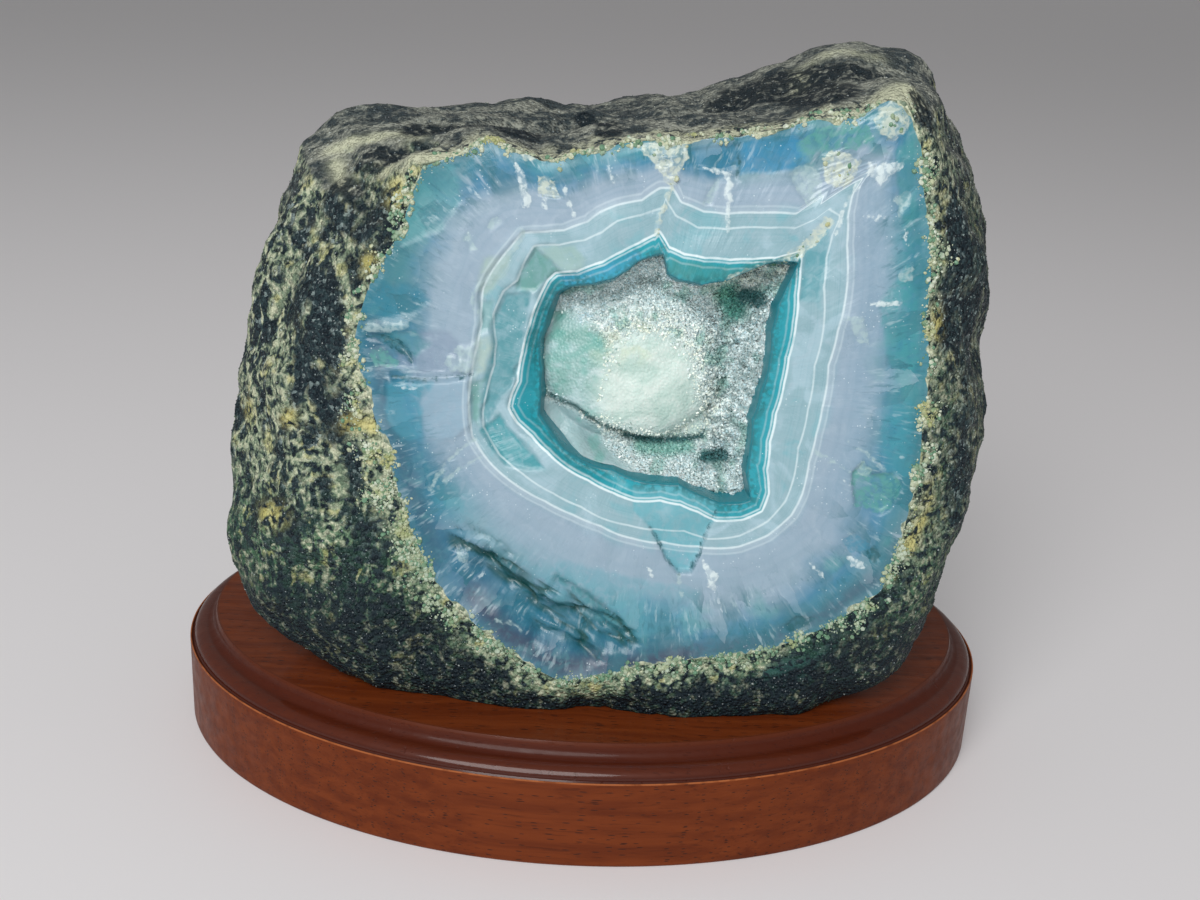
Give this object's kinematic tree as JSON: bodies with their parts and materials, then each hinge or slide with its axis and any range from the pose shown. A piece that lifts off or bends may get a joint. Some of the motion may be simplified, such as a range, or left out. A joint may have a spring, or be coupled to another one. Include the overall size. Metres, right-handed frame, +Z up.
{
  "type": "rough agate on a display base",
  "caption": "Rough agate with a dark granular rind, a broken blue banded face and a crystal-lined hollow, resting upright on an oval wooden base with a moulded edge.",
  "frame": {"origin": "middle of the flat underside of the wooden base", "axes": "+X along the base's length, to the right of someone who faces the banded side; +Y into the stone, away from that side; +Z up"},
  "size_m": [0.177, 0.1296, 0.1509],
  "materials": {
    "agate": "granular blue-black and green rind round a broken, translucent blue and lilac banded face",
    "quartz_druse": "sparkling clear to pale green crystals",
    "base_wood": "red-brown varnished wood with short dark pores, a satin side and a glossy moulding"
  },
  "bodies": {
    "root": {"agate": "agate", "hollow_crystals": "quartz_druse", "display_base": "base_wood"}
  },
  "joints": []
}
